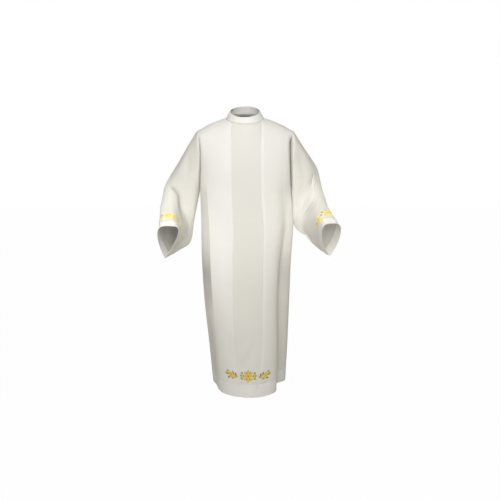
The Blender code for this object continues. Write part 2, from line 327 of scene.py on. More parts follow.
pleat = {
    "under": 0.036,  # depth of the fold that lies under each edge
    "layerAtTop": 0.0006,  # between the middles of two layers: pressed flat at the shoulder
    "layerAtHem": 0.0011,  # and opening a little towards the hem
    "opening": 1.5,  # power of the way down by which they open: above 1, most of it is low
    "strip": 0.014,  # along a face's inner edge, where three layers look whitest
    "stripEdge": 0.003,  # over which that strip ends
    "paler": 0.45,  # how much of that whiteness is lost towards the hem
    "bulge": 0.0006,  # how far a pleat's face rounds out between its edges
    "roundness": 0.7,  # power of that: below 1 the face is flatter in its middle
    "waves": {"size": 0.0012, "count": 9, "length": 0.16},
    "paleStages": (1.25, 1.85),  # over which that whiteness is lost
    "sideStages": (1.0, 1.3),  # and that of the cloth beside the pleats
    "waveStages": (0.1, 0.7),  # over which the waves set in
    "bulgeStages": (0.05, 0.6),
    "foldsFade": 0.85,  # share of the half ring from which folds fade out to the side seam
    "creasesFade": 0.93,  # and from which creases do
}

hem = {
    "depth": 0.067,
    "groove": (0.0010, 0.0016),  # depth and width of the dent along the stitching
    "puckers": {"size": 0.0007, "count": 6, "length": 0.035},
    "puckerReach": 0.010,
    "step": 0.0006,  # the doubled band stands this far proud
    "stepEdge": (-0.001, 0.002),  # and rises to that over this stretch at the stitching
    "fineRows": (0.0012, 0.003, 0.0055, 0.009),  # rows to either side of the stitching
}


# The lines of folds across a panel: for each column its share at every stage, its layer
# (0 the ground, 1 the hidden return, 2 the pleat's face), how far it lies across the
# pleat's face from its inner edge (0 to 1, or -1 off it), its distance from that edge (or
# -1) and whether it shows.
def pleatLines(edges, under, turn):
    leftOuter, leftInner, rightInner, rightOuter = edges

    def run(start, end, count, layer, shows, onFace=False, crowd=1):
        t = np.linspace(0, 1, count) ** crowd
        share = start + (end - start) * t
        inset = np.abs(end - start) * t if onFace else 0 * share - 1
        where = t if onFace else np.full(count, -1.0)
        return share, inset, np.full(count, layer), where, np.full(count, shows)

    def fold(edge, way, low, high, count=4):
        angle = np.linspace(0, np.pi, count + 2)[1:-1]
        share = edge + way * turn * np.sin(angle)
        inset = 0 * share - 1
        layer = low + (high - low) * (1 - np.cos(angle)) / 2
        return share, inset, layer, np.full(count, -1.0), np.full(count, max(low, high) == 2)

    def boxPleat(inner, outer, side):
        innerUnder, outerUnder = inner + side * under, outer - side * under
        hidden = detail["hiddenColumns"]
        return [
            run(inner, innerUnder, hidden, 0, False),
            fold(innerUnder, side, 0, 1, 3),
            run(innerUnder, inner, hidden, 1, False),
            fold(inner, -side, 1, 2),
            run(inner, outer, detail["faceColumns"], 2, True, True),
            fold(outer, side, 2, 1),
            run(outer, outerUnder, hidden, 1, False),
            fold(outerUnder, -side, 1, 0, 3),
            run(outerUnder, outer, hidden, 0, False),
        ]

    def backwards(parts):
        return [[values[..., ::-1] for values in part] for part in parts[::-1]]

    def besidePleats(outer, side):
        return [run(side + 0 * outer, outer, detail["sideColumns"], 0, True, crowd=1.5)]

    parts = besidePleats(leftOuter, -1)
    parts += backwards(boxPleat(leftInner, leftOuter, -1))
    parts += [run(leftInner, rightInner, detail["middleColumns"], 0, True)]
    parts += boxPleat(rightInner, rightOuter, 1)
    parts += backwards(besidePleats(rightOuter, 1))
    return [np.concatenate(values, axis=-1) for values in zip(*parts)]


# Creases laid one by one, each with its width, depth, lap, sharpness, shade and path. The
# path's points are (X, Z) as seen squarely from in front, or from behind on the back. A depth
# below 0 makes a trough and above it a ridge. A lap folds the cloth on one side of the path
# over the other, which drops by that much at the path: the left, as one walks along it, over
# the right where the lap is above 0, and the right over the left where it is below. Sharpness
# is 0 for a round bottom and 1 for a pinched one, and shade is painted shade: how much the
# cloth's colour is darkened in the bottom.
crease = {
    "ends": (0.22, 0.70),  # shares of a path where it is full and where it begins to fade
    "lapReach": 5,  # widths of a crease over which its lap's drop fades
    "facing": 0.30,  # how squarely the cloth has to face that way for a full crease
    "lapEdge": 0.6,  # widths of a crease over which its lap drops
    "shadeSharp": 0.5,  # sharpness of its shade
    "samples": 120,  # along a path
}


# Height of the creases above the cloth: across each path a bell or cusp, and on the lower
# side of a lap a drop that fades away as exp(-x), along it faded out at both ends, and only
# where the cloth faces the side that it was laid from. Also their painted shade: how much the
# cloth's colour is darkened in their bottoms.
def creaseHeight(points, normals, creases, forward):
    height, shading = np.zeros(points.shape[:2]), np.zeros(points.shape[:2])
    a, b = points[..., 0], points[..., 2]
    for width, depth, lap, sharp, shade, path in creases:
        reach = crease["lapReach"] * width
        low, high = np.min(path, axis=0) - 2 * reach, np.max(path, axis=0) + 2 * reach
        facing = ease(forward * normals[..., 1], 0, crease["facing"])
        near = (a > low[0]) & (a < high[0]) & (b > low[1]) & (b < high[1]) & (facing > 0)
        share = np.linspace(0, 1, crease["samples"])
        line = np.stack(tableRead(share, evenly(path)), axis=-1)
        along = unit(np.gradient(line, axis=0))
        away = np.stack([a[near], b[near]], axis=-1)[:, None] - line
        nearest = np.argmin((away**2).sum(axis=-1), axis=1)
        away = away[np.arange(len(nearest)), nearest]
        across = along[nearest, 0] * away[:, 1] - along[nearest, 1] * away[:, 0]
        across = -forward * across
        full, fading = crease["ends"]
        fade = ease(share[nearest], 0, full) * (1 - ease(share[nearest], fading, 1))
        under = -np.sign(lap) * across
        drop = ease(under, 0, crease["lapEdge"] * width) * np.exp(-np.maximum(under, 0) / reach)
        shape = depth * cusp(across, width, sharp) - np.abs(lap) * drop
        height[near] += shape * fade * facing[near]
        # Painted shade: the cloth's colour is darkened along the crease's bottom
        dark = shade * cusp(across, width, crease["shadeSharp"]) * fade * facing[near]
        shading[near] = np.maximum(shading[near], dark)
    return height, shading


# Long shallow waves, slower down the cloth than across, seeded, so that it is never quite even
def softWaves(points, seed, size, count, length):
    random = np.random.default_rng(seed)
    height = np.zeros(points.shape[:2])
    for _ in range(count):
        wave = random.uniform(-1, 1, 3) * (2 * np.pi / length) * clothSheet["waveRates"]
        height += np.sin(points @ wave + random.uniform(0, 6.28))
    return height * size / np.sqrt(count)


middleSag = ((0.035, -1.090), (0.025, -1.157), (-0.011, -1.216), (-0.022, -1.25))

frontCreases = (
    (0.007, -0.002, 0.002, 0, 0.05, ((0.066, -1.325), (0.058, -1.362), (0.046, -1.400))),
    (0.012, -0.004, 0.0, 0, 0.03, middleSag),
    (0.018, -0.003, 0.0, 0, 0.03, ((-0.078, -1.060), (-0.083, -1.123), (-0.088, -1.200))),
    (0.008, -0.004, 0.0, 0, 0.05, ((0.070, -1.322), (0.092, -1.330), (0.122, -1.326))),
)

backCreases = (
    (0.030, -0.003, 0.0, 0, 0.0, ((0.020, -0.160), (0.028, -0.420), (0.010, -0.900))),
    (0.018, -0.003, 0.0, 0, 0.0, ((0.050, -0.980), (0.022, -1.120), (-0.010, -1.260))),
)


# Turned under: past an edge the cloth rounds over and runs on inside by the seam allowance.
# The three rows that follow the edge are returned.
def turnedEdge(points, normals, onward):
    radius, depth = clothSheet["edgeRadius"], clothSheet["allowance"]
    angle = np.array([np.pi / 4, np.pi / 2])[:, None, None]
    over = points + radius * (np.sin(angle) * onward - (1 - np.cos(angle)) * normals)
    inside = points + radius * onward - (radius + depth) * normals
    return np.concatenate([over, inside[None]])


# Turned up: past its last row the cloth rounds over and runs back inside over as many rows
def turnedUp(points, normals, rows):
    radius = clothSheet["edgeRadius"]
    onward = unit(points[-1] - points[-2])
    angle = np.linspace(0, np.pi, 5)[1:-1, None, None]
    over = points[-1] + radius * (np.sin(angle) * onward - (1 - np.cos(angle)) * normals[-1])
    return np.concatenate([points, over, (points - 2 * radius * normals)[-rows:][::-1]])


# Along a hem's stitching the cloth is drawn in to a groove, and puckers beside it
def seamDent(points, below, seed, band):
    depth, width = band["groove"]
    puckers = softWaves(points, seed, **band["puckers"])
    return puckers * bell(below, band["puckerReach"]) - depth * bell(below, width)


def panelStages():
    hemLength = armhole["level"] - bodyRings[-1][0]
    seam = 2 - hem["depth"] / hemLength
    fine = np.array(hem["fineRows"]) / hemLength
    fine = np.concatenate([-fine[::-1], [0], fine])
    upper = np.linspace(0, 1, detail["upperRows"])
    lower = np.linspace(1, seam + fine[0], detail["lowerRows"])[1:-1]
    band = np.linspace(seam + fine[-1], 2, detail["hemRows"])[1:]
    return np.concatenate([upper, lower, seam + fine, band])[:, None], seam, hemLength


def panelSurface(panel, creases, seed):
    forward = panel["forward"]
    stage, seam, hemLength = panelStages()
    across = np.linspace(0, 1, 41)[None, :] + 0 * stage
    half = lengths(panelPoint(across, stage, forward), 1)[:, -1:]
    opening = (stage / 2) ** pleat["opening"]
    layerStep = pleat["layerAtTop"] * (1 - opening) + pleat["layerAtHem"] * opening
    now = tableRead(stage, panel["pleats"])
    share, inset, layer, onFace, shows = pleatLines(
        now, pleat["under"] / half, layerStep / 2 / half
    )
    share = share * (1 - edgeGap(stage) / half)
    points = panelPoint(share, stage, forward)
    normals = panelNormal(share, stage, forward)
    offset = layer * layerStep
    for place, spread, start, full, depth in panel["folds"]:
        shape = bell(share - place, spread) * (1 - ease(np.abs(share), pleat["foldsFade"], 1))
        offset = offset + depth * shape * ease(stage, start, full)
    bulge = np.where(onFace < 0, 0, np.sin(np.pi * np.clip(onFace, 0, 1)) ** pleat["roundness"])
    offset = offset + pleat["bulge"] * bulge * ease(stage, *pleat["bulgeStages"])
    quiet = 1 - ease(np.abs(share), pleat["creasesFade"], 1)
    height, shading = creaseHeight(points, normals, creases, forward)
    waves = softWaves(points, seed, **pleat["waves"]) * ease(stage, *pleat["waveStages"])
    offset = offset + (height + waves) * quiet
    below = (stage - seam) * hemLength  # distance below the hem's stitching
    offset = offset + hem["step"] * ease(below, *hem["stepEdge"])
    offset = offset + seamDent(points, below, seed + 1, hem)
    points = points + normals * offset[..., None]
    for side in (-1, 1):
        near = cusp((1 - side * share) * half, armhole["tuckWidth"][int(side > 0)])
        points = points + armholeTuck(stage, side, forward) * near[..., None]
        shading = np.maximum(shading, armholeShade(stage, side) * near**2)
    beside = (layer == 0) & ((share < now[0]) | (share > now[3]))
    # Painted shade beside the outer pleats, where the cloth drops away
    dim = np.where(share < 0, *tableRead(stage, panel["dim"]))
    shading = np.maximum(shading, beside * dim)
    # How pale the cloth is coloured: the hem's doubled band and the three layers along each face's
    # inner edge are really paler; the rest of each face takes faceWhite, paler on the front's left
    # face by painted light, and the cloth beside the pleats above the armpit takes sideWhite,
    # painted light.
    plain = np.where(share < 0, *panel["faceWhite"])
    strip = 1 - ease(inset * half, pleat["strip"] - pleat["stripEdge"], pleat["strip"])
    faceWhite = np.where(inset < 0, 0, plain + (1 - plain) * strip)
    faceWhite = faceWhite * (1 - pleat["paler"] * ease(stage, *pleat["paleStages"]))
    sideWhite = panel["sideWhite"] * beside * (1 - ease(stage, *pleat["sideStages"]))
    faceWhite = np.maximum(faceWhite, sideWhite)
    layersAndLightShare = np.maximum(ease(below + 0 * share, *clothSheet["bandEdge"]), faceWhite)
    return {
        "points": points,
        "normals": gridNormals(points, forward),
        "outward": normals,
        "shows": shows.astype(bool),
        "region": np.where(onFace < 0, 0, np.sign(share[0])),  # -1 and 1 on the faces
        "layersAndLightShare": layersAndLightShare,
        "shading": shading,
        "turnedRows": len(stage) - int(np.argmin(np.abs(stage[:, 0] - seam))),
    }


# How pale a surface is coloured, for doubled cloth and painted light, and how dark with
# painted shade, with rows added before and after it
def surfaceLooks(surface, before, after):
    doubledAndLit = np.pad(surface["layersAndLightShare"], ((before, 0), (0, 0)))
    doubledAndLit = np.pad(doubledAndLit, ((0, after), (0, 0)), constant_values=1)
    return doubledAndLit, np.pad(surface["shading"], ((before, after), (0, 0)), mode="edge")


# Adds the turned edges to a panel: the hem runs back up inside, and the shoulder, neck,
# armhole and side edges turn in by the seam allowance.
def finishPanel(surface):
    points, outward, rows = surface["points"], surface["outward"], surface["turnedRows"]
    top = turnedEdge(points[0], outward[0], unit(points[0] - points[1]))
    grid = np.concatenate([top[::-1], turnedUp(points, surface["normals"], rows)])
    first, last = (np.repeat(outward[i][None], 3, axis=0) for i in (0, -1))
    rim = np.concatenate([first, outward, last, outward[-rows:][::-1]])
    left, right = (
        turnedEdge(grid[:, edge], rim[:, edge], unit(grid[:, edge] - grid[:, inner]))
        for edge, inner in ((0, 1), (-1, -2))
    )
    grid = np.concatenate([left[::-1].swapaxes(0, 1), grid, right.swapaxes(0, 1)], axis=1)
    looks = surfaceLooks(surface, 3, 3 + rows)
    return grid, [np.pad(look, ((0, 0), (3, 3)), mode="edge") for look in looks]


# Sleeve rings from the armhole to the cuff: the ring's top, over the arm, its bottom, where
# the underarm seam hangs, half the width between its sides, the turn of its sides from
# across the body (0) to along it (90 degrees), and the power of the ring's rise: 0.5 is
# round on top, less is flatter there and widest near its top.
leftSleeve = {
    "side": -1,
    "blunt": 0.0,  # how rounded the cuff is at its lower corner, 0 to 1
    "rings": (
        (-0.245, 0.000, -0.050, -0.233, 0.000, -0.355, 0.075, 0, 0.50),
        (-0.286, 0.002, -0.120, -0.250, 0.006, -0.420, 0.066, 8, 0.30),
        (-0.334, 0.006, -0.200, -0.262, 0.014, -0.475, 0.057, 16, 0.27),
        (-0.379, 0.012, -0.276, -0.274, 0.022, -0.535, 0.053, 28, 0.30),
        (-0.403, 0.008, -0.331, -0.284, 0.026, -0.604, 0.053, 45, 0.36),
        (-0.402, -0.041, -0.383, -0.302, 0.018, -0.641, 0.052, 64, 0.41),
        (-0.391, -0.106, -0.429, -0.337, -0.010, -0.658, 0.051, 78, 0.35),
        (-0.378, -0.169, -0.467, -0.377, -0.045, -0.676, 0.050, 86, 0.29),
        (-0.367, -0.225, -0.497, -0.414, -0.085, -0.690, 0.052, 90, 0.25),
    ),
}

rightSleeve = {
    "side": 1,
    "blunt": 0.5,
    "rings": (
        (0.245, 0.000, -0.050, 0.240, 0.000, -0.355, 0.075, 0, 0.50),
        (0.285, 0.002, -0.112, 0.242, 0.006, -0.412, 0.065, 8, 0.30),
        (0.325, 0.004, -0.172, 0.246, 0.014, -0.468, 0.057, 16, 0.27),
        (0.361, 0.008, -0.236, 0.251, 0.024, -0.524, 0.053, 28, 0.30),
        (0.373, 0.000, -0.302, 0.280, 0.020, -0.566, 0.051, 45, 0.36),
        (0.381, -0.042, -0.362, 0.318, 0.010, -0.592, 0.047, 62, 0.41),
        (0.391, -0.095, -0.412, 0.352, -0.018, -0.625, 0.042, 75, 0.35),
        (0.407, -0.150, -0.454, 0.391, -0.050, -0.655, 0.044, 84, 0.29),
        (0.424, -0.205, -0.488, 0.432, -0.085, -0.678, 0.047, 88, 0.29),
    ),
}

cuff = {
    "depth": 0.045,
    "groove": (0.0009, 0.0022),
    "puckers": {"size": 0.0007, "count": 6, "length": 0.03},
    "puckerReach": 0.008,
    "shade": (0.12, 0.001, 0.003),  # painted shade by the stitching: how dark, how far up, how wide
    "waves": {"size": 0.0010, "count": 8, "length": 0.11},  # down the whole sleeve
    "blend": 0.30,  # share of the sleeve that takes its form from the armhole
    "quiet": 0.06,  # share of it before the creases and waves are full
    "crowd": 1.25,  # power by which its rings crowd towards the armhole
    "crowdAlong": (0.20, 0.50),  # shares of it over which a ring's points crowd to its top,
    "pointAlong": (0.20, 0.60),  # its underarm gets pointed
    "bluntAlong": (0.80, 1.0),  # and the cuff gets blunt
}


# At the left elbow the forearm lies in front of the part that hangs
elbowFold = (
    *((-0.399, -0.327), (-0.383, -0.333), (-0.366, -0.346), (-0.350, -0.364), (-0.341, -0.384)),
    *((-0.335, -0.410), (-0.327, -0.447), (-0.318, -0.490), (-0.306, -0.545)),
)
upperDrag = ((-0.276, -0.134), (-0.287, -0.217), (-0.294, -0.303), (-0.296, -0.38))

leftCreases = (
    (0.006, -0.010, -0.006, 0.7, 0.42, elbowFold),
    (0.014, -0.003, 0.0, 0, 0.02, upperDrag),
    (0.006, -0.003, 0.0, 0, 0.08, ((-0.306, -0.545), (-0.303, -0.575), (-0.298, -0.610))),
    (0.010, -0.004, 0.0, 0, 0.06, ((-0.375, -0.655), (-0.338, -0.618), (-0.305, -0.588))),
)

# Three folds fan out above the right cuff
firstFold = ((0.366, -0.225), (0.347, -0.315), (0.326, -0.365), (0.303, -0.428), (0.276, -0.505))
secondFold = ((0.378, -0.285), (0.350, -0.378), (0.321, -0.435), (0.292, -0.510))
thirdFold = ((0.392, -0.345), (0.363, -0.391), (0.334, -0.442), (0.305, -0.515))

rightCreases = (
    (0.007, -0.003, 0.006, 0.3, 0.07, firstFold),
    (0.007, -0.003, 0.007, 0.3, 0.08, secondFold),
    (0.007, -0.003, 0.005, 0.3, 0.06, thirdFold),
    (0.006, -0.008, 0.0, 0.5, 0.12, ((0.312, -0.575), (0.330, -0.592), (0.355, -0.605))),
    (0.008, -0.003, 0.0, 0.5, 0.04, ((0.290, -0.530), (0.305, -0.556), (0.322, -0.575))),
    (0.015, -0.002, 0.0, 0, 0.02, ((0.270, -0.144), (0.286, -0.218), (0.299, -0.293))),
)


# The sleeve's first ring, down the front panel's armhole edge and up the back one's, a
# hair's breadth outside both
def armholeRing(down, side):
    stage = down[:, None]
    low = ease(stage, *armhole["lowStages"])
    halves, tucks = [], []
    for forward in (-1, 1):
        edge, inner = (panelPoint(side * s + 0 * stage, stage, forward)[:, 0] for s in (1, 0.985))
        onward = unit(edge - inner) * (edgeGap(stage) + armhole["hair"]) * (1 - low)
        halves.append(edge + onward + np.array([side, 0, 0]) * armhole["standOff"] * low)
        tucks.append(armholeTuck(stage, side, forward)[:, 0])
    ring, tuck = (
        np.array([(a[0] + b[0]) / 2, *a[1:-1], (a[-1] + b[-1]) / 2, *b[-2:0:-1]])
        for a, b in (halves, tucks)
    )
    return ring, tuck


# Each ring is a drop, over the arm and narrow where the underarm seam hangs: its width at
# a share d of the way down goes as d ** rise * (1 - d) ** fall. fall is least, for a round
# underarm, beside the body, and again at a blunt cuff.
def sleeveSurface(sleeve, creases, seed):
    side = sleeve["side"]
    along = np.linspace(0, 1, detail["sleeveRings"]) ** cuff["crowd"]
    down = np.linspace(0, 1, detail["sleeveHalf"])
    now = np.array(tableRead(along, evenly(sleeve["rings"])))
    top, low, half = now[:3].T[:, None], now[3:6].T[:, None], now[6]
    turn, rise = np.radians(now[7]), now[8][:, None]
    crowd = 1 + (0.5 / rise - 1) * ease(along, *cuff["crowdAlong"])[:, None]
    drop = ((1 - np.cos(np.pi * down)) / 2) ** crowd
    blunt = sleeve["blunt"] * ease(along, *cuff["bluntAlong"])
    pointed = ease(along, *cuff["pointAlong"]) * (1 - blunt)
    fall = armhole["underarm"] + (1 - armhole["underarm"]) * pointed[:, None]
    widest = rise**rise * fall**fall / (rise + fall) ** (rise + fall)
    width = (drop**rise * (1 - drop) ** fall / widest)[..., None]
    across = np.stack([-side * np.sin(turn), -np.cos(turn), 0 * turn], axis=-1)
    across = (half[:, None] * across)[:, None]
    spine = top + (low - top) * drop[..., None]
    near, far = spine + across * width, spine - across * width
    rings = np.concatenate([near, far[:, -2:0:-1]], axis=1)
    share = ease(along, 0, cuff["blend"])[:, None, None]
    firstRing, tuck = armholeRing(down, side)
    points = firstRing * (1 - share) + rings * share
    near = cusp(lengths(points, 0), armhole["tuckWidth"][int(side > 0)])
    points = points + tuck * near[..., None]
    normals = ringNormals(points)[0]
    quiet = ease(along, 0, cuff["quiet"])[:, None]
    height, shading = creaseHeight(points, normals, creases, -1)
    offset = (height + softWaves(points, seed, **cuff["waves"])) * quiet
    aroundStage = np.concatenate([down, down[-2:0:-1]])[None]
    shading = np.maximum(shading * quiet, armholeShade(aroundStage, side) * near**2)
    toRim = lengths(points, 0)
    toRim = toRim[-1:] - toRim
    below = cuff["depth"] - toRim  # distance below the cuff's stitching
    # Painted shade along the cuff's stitching
    dark, above, spread = cuff["shade"]
    shading = np.maximum(shading, dark * bell(below + above, spread))
    offset = offset + seamDent(points, below, seed + 1, cuff)
    points = points + normals * offset[..., None]
    normals, way = ringNormals(points)
    return {
        "points": points,
        "normals": normals,
        "way": way,
        "turnedRows": int(np.sum(toRim.mean(axis=1) < cuff["depth"])),
        "shading": shading,
        "layersAndLightShare": ease(below, *clothSheet["bandEdge"]),
    }


# Adds the turned edge in the armhole and the cuff's, which runs back up inside
def finishSleeve(surface):
    points, rows = surface["points"], surface["turnedRows"]
    outward = unit(points[0] - points[0].mean(axis=0))
    start = turnedEdge(points[0], outward, unit(points[0] - points[9]))
    grid = np.concatenate([start[::-1], turnedUp(points, surface["normals"], rows)])
    return grid, surfaceLooks(surface, 3, 3 + rows)


collar = {
    "topWidth": 0.146,
    "topFront": 0.080,
    "topBack": 0.064,
    "topLevel": 0.047,
    "topSlope": 0.40,
    "clearance": 0.0020,  # inside the neckline's edge
    "double": 0.0016,  # between the middles of its outer and inner layer
    "bow": 0.0014,  # how far the band rounds out between its edges
    "shade": (0.25, 0.10),  # painted shade along its seam: how dark, and over which share
    "groove": (0.0005, 0.0343, 0.90),  # a dent's depth, and its width and place as shares
    "wave": (0.0006, 3, 0.7),  # how far the top edge rises and falls, how often, and its start
    "ends": (-0.06, 0.97),  # shares of its height where the profile ends and the fold begins
    "points": (17, 13),  # of the profile, outside and inside
    "foldRise": (0.985, 1.0, 0.985),  # of the fold's points, as shares of the height
    "foldInset": (0.3, 1, 1.7),  # and how many half folds they lie inward
}


# The stand collar: a band round the neckline, folded double over its top edge. Its profile
# goes up the outside, round the fold and down the inside.
def collarSurface():
    angle = np.linspace(0, 2 * np.pi, detail["collarSteps"], endpoint=False)
    isFront = np.cos(angle) > 0
    halfFold = collar["double"] / 2
    outside, inside = collar["points"]
    up, down = np.linspace(*collar["ends"], outside), np.linspace(*collar["ends"][::-1], inside)
    rise = np.concatenate([up, collar["foldRise"], down])
    inset = halfFold * np.concatenate([0 * up, collar["foldInset"], 0 * down + 2])
    clear = collar["clearance"] - halfFold
    rise, inset = rise[:, None], inset[:, None]
    base = np.where(isFront, neck["front"], neck["back"])
    top = np.where(isFront, collar["topFront"], collar["topBack"])
    half = (neck["width"] / 2 - clear) * (1 - rise) + collar["topWidth"] / 2 * rise
    reach = (base - clear) * (1 - rise) + top * rise
    bow = collar["bow"] * np.sin(np.pi * np.clip(rise, 0, 1))
    x = (half - inset + bow) * np.sin(angle)
    y = -(reach - inset + bow) * np.cos(angle)
    low = neck["level"] - neck["slope"] * base * np.cos(angle)
    high = collar["topLevel"] - collar["topSlope"] * top * np.cos(angle)
    z = low + (high - low) * rise
    depth, width, place = collar["groove"]
    drawnIn = 1 - depth / collar["topFront"] * bell(rise - place, width) * (inset < halfFold)
    size, count, start = collar["wave"]
    z = z + size * np.sin(count * angle + start) * np.clip(rise, 0, 1)
    points = np.stack([x * drawnIn, y * drawnIn, z], axis=-1)
    way = ringNormals(points[:outside])[1]
    # Painted shade along the collar's seam
    dark, spread = collar["shade"]
    shading = dark * bell(rise, spread) * (inset < halfFold) + 0 * angle
    return points, (np.ones_like(shading), shading), way


# Quads between neighbouring points of a grid, joined round each row where closed, and
# facing the other way where way is -1
def gridFaces(rows, across, closed, way):
    row = np.arange(rows - 1)[:, None]
    line = np.arange(across if closed else across - 1)[None, :]
    after = (line + 1) % across
    quads = [row * across + line, row * across + after]
    quads += [(row + 1) * across + after, (row + 1) * across + line]
    quads = np.stack(quads, axis=-1).reshape(-1, 4)
    return quads if way > 0 else quads[:, ::-1]


def makeMesh(name, points, faces):
    mesh = bpy.data.meshes.new(name)
    mesh.vertices.add(len(points))
    mesh.vertices.foreach_set("co", np.ascontiguousarray(points, np.float32).ravel())
    mesh.loops.add(faces.size)
    mesh.loops.foreach_set("vertex_index", np.ascontiguousarray(faces, np.int32).ravel())
    mesh.polygons.add(len(faces))
    starts = np.arange(0, faces.size, faces.shape[1], dtype=np.int32)
    mesh.polygons.foreach_set("loop_start", starts)
    mesh.polygons.foreach_set("use_smooth", np.ones(len(faces), bool))
    mesh.update(calc_edges=True)
    mesh.validate()
    return mesh


def setUV(mesh, faces, perVertex):
    layer = mesh.uv_layers.new(name="metres")
    values = np.ascontiguousarray(perVertex[faces.ravel()], np.float32)
    layer.data.foreach_set("uv", values.ravel())


def setValue(mesh, name, values):
    attribute = mesh.attributes.new(name, "FLOAT", "POINT")
    attribute.data.foreach_set("value", np.ascontiguousarray(values, np.float32).ravel())


def addObject(name, data):
    added = bpy.data.objects.new(name, data)
    bpy.context.scene.collection.objects.link(added)
    return added


# A sheet of cloth from a grid: its UV map is in metres along the threads, looks are how
# pale it is coloured, 1 where the cloth lies on itself and partly where painted light is laid
# on, and how dark with painted shade
def clothPiece(name, grid, looks, closed, way, material):
    rows, across = grid.shape[:2]
    faces = gridFaces(rows, across, closed, way)
    mesh = makeMesh(name, grid.reshape(-1, 3), faces)
    along, down = lengths(grid, 1), lengths(grid, 0)
    metres = np.stack([along - along[:, [across // 2]], -down], axis=-1).reshape(-1, 2)
    setUV(mesh, faces, metres)
    for key, values in zip(("doubledAndLit", "shading"), looks):
        setValue(mesh, key, values)
    mesh.materials.append(material)
    piece = addObject(name, mesh)
    wall = piece.modifiers.new("wall", "SOLIDIFY")
    wall.thickness = clothSheet["thickness"]
    wall.offset = 0
    wall.use_rim = True
    return piece


# The nodes of a material or a world, whose first shader is linked to its output already
class Nodes:
    def __init__(self, owner, shader="Principled BSDF"):
        self.owner = owner
        owner.use_nodes = True
        self.tree = owner.node_tree
        self.shader = self.tree.nodes[shader]

    def add(self, kind, values=(), links=(), **settings):
        node = self.tree.nodes.new(kind)
        for key, value in settings.items():
            setattr(node, key, value)
        for socket, value in dict(values).items():
            node.inputs[socket].default_value = value
        for socket, output in dict(links).items():
            self.link(output, node.inputs[socket])
        return node

    def link(self, output, socket):
        self.tree.links.new(output, socket)

    def math(self, operation, first, second=None):
        given = {i: value for i, value in enumerate((first, second)) if value is not None}
        values = {i: value for i, value in given.items() if isinstance(value, (int, float))}
        links = {i: value for i, value in given.items() if i not in values}
        return self.add("ShaderNodeMath", values, links, operation=operation).outputs[0]

    def noise(self, vector, scale, octaves):
        values = {"Scale": scale, "Detail": octaves}
        return self.add("ShaderNodeTexNoise", values, {"Vector": vector}).outputs["Fac"]

    def bump(self, height, strength, distance, below=None):
        values = {"Strength": strength, "Distance": distance}
        links = {"Height": height} if below is None else {"Height": height, "Normal": below}
        return self.add("ShaderNodeBump", values, links).outputs[0]

    def attribute(self, name):
        return self.add("ShaderNodeAttribute", attribute_name=name).outputs["Fac"]

    def metres(self):
        return self.add("ShaderNodeUVMap", uv_map="metres").outputs[0]

    def look(self, values):
        for socket, value in values.items():
            self.shader.inputs[socket].default_value = value

    # The camera sees this much of a second shader over the first one
    def seenAs(self, second, share, output):
        ray = self.add("ShaderNodeLightPath").outputs["Is Camera Ray"]
        links = {0: self.math("MULTIPLY", ray, share), 1: self.shader.outputs[0]}
        mix = self.add("ShaderNodeMixShader", (), {**links, 2: second.outputs[0]})
        self.link(mix.outputs[0], self.tree.nodes[output].inputs["Surface"])


ivory = {
    "single": (0.785, 0.768, 0.708),
    # the paler colour of doubled cloth, also laid on as painted light
    "doubledAndLit": (0.862, 0.848, 0.806),
    "drift": (9, 0.975, 1.02),  # scale of the colour's drift, and its least and most light
    "threadPitch": 0.0007,
    "slubs": (900, 60, 1),  # across the warp, along it and through
    "threadBump": (0.25, 0.00008),  # strength and height
    "rumple": 34,  # scale of the cloth's soft unevenness
    "rumpleBump": (0.35, 0.0009),
    "roughness": 0.72,
    "sheen": 0.18,
}


# Woven cloth: its colour goes from single to doubled layers, and to the same paler colour
# where painted light is laid on, drifts a little with noise and is darkened by painted shade
# in the folds. The bump is sin(u) * sin(v) of the threads, with slubs along the warp.
def ivoryCloth(name, settings):
    nodes = Nodes(bpy.data.materials.new(name))
    uv = nodes.metres()
    place = nodes.add("ShaderNodeTexCoord").outputs["Object"]

    scale, least, most = settings["drift"]
    ends = {6: (*settings["single"], 1), 7: (*settings["doubledAndLit"], 1)}
    layersAndLightMix = nodes.add("ShaderNodeMix", ends, {0: nodes.attribute("doubledAndLit")}, data_type="RGBA")
    light = {"To Min": least, "To Max": most}
    ramp = nodes.add("ShaderNodeMapRange", light, {"Value": nodes.noise(place, scale, 3)})
    unshaded = nodes.math("SUBTRACT", 1, nodes.attribute("shading"))
    factors = {6: layersAndLightMix.outputs[2], 7: nodes.math("MULTIPLY", ramp.outputs[0], unshaded)}
    product = {"data_type": "RGBA", "blend_type": "MULTIPLY"}
    colour = nodes.add("ShaderNodeMix", {0: 1}, factors, **product)
    nodes.link(colour.outputs[2], nodes.shader.inputs["Base Color"])

    axes = nodes.add("ShaderNodeSeparateXYZ", (), {0: uv})
    beat = np.pi / settings["threadPitch"]
    warp = nodes.math("SINE", nodes.math("MULTIPLY", axes.outputs["X"], beat))
    weft = nodes.math("SINE", nodes.math("MULTIPLY", axes.outputs["Y"], beat))
    weave = nodes.math("MULTIPLY", nodes.math("MULTIPLY", warp, weft), 0.5)
    stretch = nodes.add("ShaderNodeMapping", {"Scale": settings["slubs"]}, {"Vector": uv})
    height = nodes.math("ADD", weave, nodes.noise(stretch.outputs[0], 1, 1))
    fine = nodes.bump(height, *settings["threadBump"])
    rumple = nodes.noise(place, settings["rumple"], 3)
    soft = nodes.bump(rumple, *settings["rumpleBump"], fine)
    nodes.link(soft, nodes.shader.inputs["Normal"])
    nodes.look({"Roughness": settings["roughness"], "Sheen Weight": settings["sheen"]})
    nodes.look({"Sheen Roughness": 0.5, "Specular IOR Level": 0.3})
    return nodes.owner


ivoryMaterial = ivoryCloth("ivory woven cloth", ivory)
collarMaterial = ivoryCloth("collar cloth", {**ivory, "roughness": 0.66})

